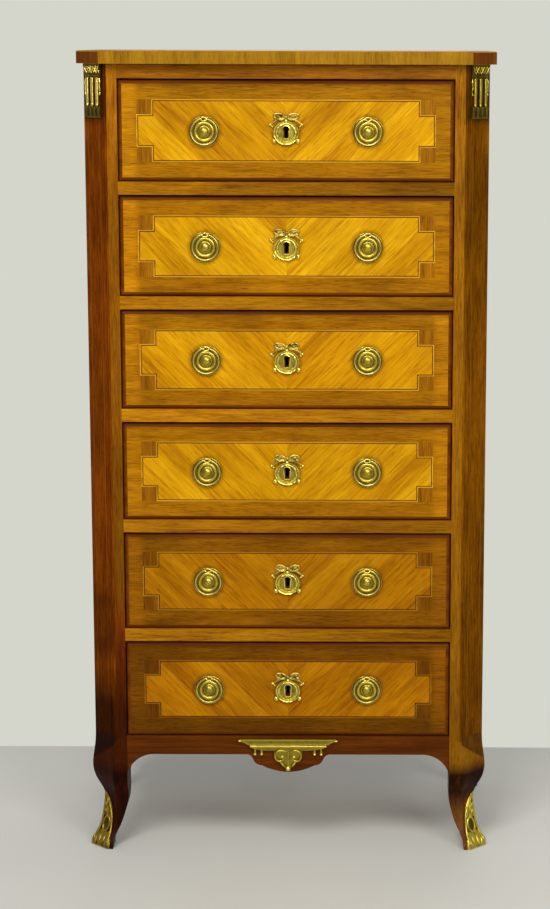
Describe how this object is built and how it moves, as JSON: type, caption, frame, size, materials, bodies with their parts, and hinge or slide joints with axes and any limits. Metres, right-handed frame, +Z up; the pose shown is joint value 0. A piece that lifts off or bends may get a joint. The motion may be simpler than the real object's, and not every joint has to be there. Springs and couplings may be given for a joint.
{
  "type": "tall chest of drawers",
  "caption": "Tall narrow chest of drawers in marquetry veneer with canted corners, cabriole legs and gilt mounts; drawers slide out by ring pulls and lock.",
  "frame": {"origin": "on the floor under the middle of the top slab, which is the bottom centre of the chest's box", "axes": "+X to the right seen from the front, +Y to the back so that drawers open towards -Y, +Z up"},
  "size_m": [0.706, 0.39, 1.39],
  "materials": {
    "top_veneer": "French-polished cross-grain veneer",
    "post_veneer": "French-polished red-brown veneer with light stringing",
    "side_veneer": "French-polished veneer",
    "rail_veneer": "French-polished veneer, grain across",
    "carcass_oak": "plain unpolished oak",
    "drawer_marquetry": "French-polished book-matched satinwood in darker bands",
    "drawer_oak": "plain unpolished oak",
    "gilt_mounts": "gilt and burnished",
    "gilt_pulls": "gilt and burnished",
    "lock_steel": "aged steel"
  },
  "bodies": {
    "carcass": {"top_board": "top_veneer", "front_left_post": "post_veneer", "front_right_post": "post_veneer", "rear_left_post": "post_veneer", "rear_right_post": "post_veneer", "left_side_panel": "side_veneer", "right_side_panel": "side_veneer", "frieze_rail": "rail_veneer", "drawer_rails": "rail_veneer", "apron_rail": "rail_veneer", "back_boards": "carcass_oak", "rear_rails": "carcass_oak", "bottom_board": "carcass_oak", "drawer_runners": "carcass_oak", "drawer_stops": "carcass_oak", "corner_mounts": "gilt_mounts", "sabots": "gilt_mounts", "apron_mount": "gilt_mounts"},
    "drawer_1": {"drawer_1_front": "drawer_marquetry", "drawer_1_box": "drawer_oak", "drawer_1_plates": "gilt_pulls", "drawer_1_lock": "lock_steel"},
    "drawer_1_left_ring": {"drawer_1_left_ring": "gilt_pulls"},
    "drawer_1_right_ring": {"drawer_1_right_ring": "gilt_pulls"},
    "drawer_1_lock_bolt": {"drawer_1_lock_bolt": "lock_steel"},
    "drawer_2": {"drawer_2_front": "drawer_marquetry", "drawer_2_box": "drawer_oak", "drawer_2_plates": "gilt_pulls", "drawer_2_lock": "lock_steel"},
    "drawer_2_left_ring": {"drawer_2_left_ring": "gilt_pulls"},
    "drawer_2_right_ring": {"drawer_2_right_ring": "gilt_pulls"},
    "drawer_2_lock_bolt": {"drawer_2_lock_bolt": "lock_steel"},
    "drawer_3": {"drawer_3_front": "drawer_marquetry", "drawer_3_box": "drawer_oak", "drawer_3_plates": "gilt_pulls", "drawer_3_lock": "lock_steel"},
    "drawer_3_left_ring": {"drawer_3_left_ring": "gilt_pulls"},
    "drawer_3_right_ring": {"drawer_3_right_ring": "gilt_pulls"},
    "drawer_3_lock_bolt": {"drawer_3_lock_bolt": "lock_steel"},
    "drawer_4": {"drawer_4_front": "drawer_marquetry", "drawer_4_box": "drawer_oak", "drawer_4_plates": "gilt_pulls", "drawer_4_lock": "lock_steel"},
    "drawer_4_left_ring": {"drawer_4_left_ring": "gilt_pulls"},
    "drawer_4_right_ring": {"drawer_4_right_ring": "gilt_pulls"},
    "drawer_4_lock_bolt": {"drawer_4_lock_bolt": "lock_steel"},
    "drawer_5": {"drawer_5_front": "drawer_marquetry", "drawer_5_box": "drawer_oak", "drawer_5_plates": "gilt_pulls", "drawer_5_lock": "lock_steel"},
    "drawer_5_left_ring": {"drawer_5_left_ring": "gilt_pulls"},
    "drawer_5_right_ring": {"drawer_5_right_ring": "gilt_pulls"},
    "drawer_5_lock_bolt": {"drawer_5_lock_bolt": "lock_steel"},
    "drawer_6": {"drawer_6_front": "drawer_marquetry", "drawer_6_box": "drawer_oak", "drawer_6_plates": "gilt_pulls", "drawer_6_lock": "lock_steel"},
    "drawer_6_left_ring": {"drawer_6_left_ring": "gilt_pulls"},
    "drawer_6_right_ring": {"drawer_6_right_ring": "gilt_pulls"},
    "drawer_6_lock_bolt": {"drawer_6_lock_bolt": "lock_steel"}
  },
  "joints": [
    {"name": "drawer_1_slide", "type": "slide", "parent": "carcass", "child": "drawer_1", "axis": [0, -1, 0], "range_m": [0, 0.24]},
    {"name": "drawer_1_left_ring_hinge", "type": "hinge", "parent": "drawer_1", "child": "drawer_1_left_ring", "pos_m": [-0.1375, -0.1839, 1.27905], "axis": [-1, 0, 0], "range_deg": [0, 140]},
    {"name": "drawer_1_right_ring_hinge", "type": "hinge", "parent": "drawer_1", "child": "drawer_1_right_ring", "pos_m": [0.1375, -0.1839, 1.27905], "axis": [-1, 0, 0], "range_deg": [0, 140]},
    {"name": "drawer_1_lock_bolt_slide", "type": "slide", "parent": "drawer_1", "child": "drawer_1_lock_bolt", "axis": [0, 0, 1], "range_m": [0, 0.009]},
    {"name": "drawer_2_slide", "type": "slide", "parent": "carcass", "child": "drawer_2", "axis": [0, -1, 0], "range_m": [0, 0.24]},
    {"name": "drawer_2_left_ring_hinge", "type": "hinge", "parent": "drawer_2", "child": "drawer_2_left_ring", "pos_m": [-0.1375, -0.1839, 1.08555], "axis": [-1, 0, 0], "range_deg": [0, 140]},
    {"name": "drawer_2_right_ring_hinge", "type": "hinge", "parent": "drawer_2", "child": "drawer_2_right_ring", "pos_m": [0.1375, -0.1839, 1.08555], "axis": [-1, 0, 0], "range_deg": [0, 140]},
    {"name": "drawer_2_lock_bolt_slide", "type": "slide", "parent": "drawer_2", "child": "drawer_2_lock_bolt", "axis": [0, 0, 1], "range_m": [0, 0.009]},
    {"name": "drawer_3_slide", "type": "slide", "parent": "carcass", "child": "drawer_3", "axis": [0, -1, 0], "range_m": [0, 0.24]},
    {"name": "drawer_3_left_ring_hinge", "type": "hinge", "parent": "drawer_3", "child": "drawer_3_left_ring", "pos_m": [-0.1375, -0.1839, 0.89205], "axis": [-1, 0, 0], "range_deg": [0, 140]},
    {"name": "drawer_3_right_ring_hinge", "type": "hinge", "parent": "drawer_3", "child": "drawer_3_right_ring", "pos_m": [0.1375, -0.1839, 0.89205], "axis": [-1, 0, 0], "range_deg": [0, 140]},
    {"name": "drawer_3_lock_bolt_slide", "type": "slide", "parent": "drawer_3", "child": "drawer_3_lock_bolt", "axis": [0, 0, 1], "range_m": [0, 0.009]},
    {"name": "drawer_4_slide", "type": "slide", "parent": "carcass", "child": "drawer_4", "axis": [0, -1, 0], "range_m": [0, 0.24]},
    {"name": "drawer_4_left_ring_hinge", "type": "hinge", "parent": "drawer_4", "child": "drawer_4_left_ring", "pos_m": [-0.1375, -0.1839, 0.69855], "axis": [-1, 0, 0], "range_deg": [0, 140]},
    {"name": "drawer_4_right_ring_hinge", "type": "hinge", "parent": "drawer_4", "child": "drawer_4_right_ring", "pos_m": [0.1375, -0.1839, 0.69855], "axis": [-1, 0, 0], "range_deg": [0, 140]},
    {"name": "drawer_4_lock_bolt_slide", "type": "slide", "parent": "drawer_4", "child": "drawer_4_lock_bolt", "axis": [0, 0, 1], "range_m": [0, 0.009]},
    {"name": "drawer_5_slide", "type": "slide", "parent": "carcass", "child": "drawer_5", "axis": [0, -1, 0], "range_m": [0, 0.24]},
    {"name": "drawer_5_left_ring_hinge", "type": "hinge", "parent": "drawer_5", "child": "drawer_5_left_ring", "pos_m": [-0.1375, -0.1839, 0.50505], "axis": [-1, 0, 0], "range_deg": [0, 140]},
    {"name": "drawer_5_right_ring_hinge", "type": "hinge", "parent": "drawer_5", "child": "drawer_5_right_ring", "pos_m": [0.1375, -0.1839, 0.50505], "axis": [-1, 0, 0], "range_deg": [0, 140]},
    {"name": "drawer_5_lock_bolt_slide", "type": "slide", "parent": "drawer_5", "child": "drawer_5_lock_bolt", "axis": [0, 0, 1], "range_m": [0, 0.009]},
    {"name": "drawer_6_slide", "type": "slide", "parent": "carcass", "child": "drawer_6", "axis": [0, -1, 0], "range_m": [0, 0.24]},
    {"name": "drawer_6_left_ring_hinge", "type": "hinge", "parent": "drawer_6", "child": "drawer_6_left_ring", "pos_m": [-0.1375, -0.1839, 0.31155], "axis": [-1, 0, 0], "range_deg": [0, 140]},
    {"name": "drawer_6_right_ring_hinge", "type": "hinge", "parent": "drawer_6", "child": "drawer_6_right_ring", "pos_m": [0.1375, -0.1839, 0.31155], "axis": [-1, 0, 0], "range_deg": [0, 140]},
    {"name": "drawer_6_lock_bolt_slide", "type": "slide", "parent": "drawer_6", "child": "drawer_6_lock_bolt", "axis": [0, 0, 1], "range_m": [0, 0.009]}
  ]
}
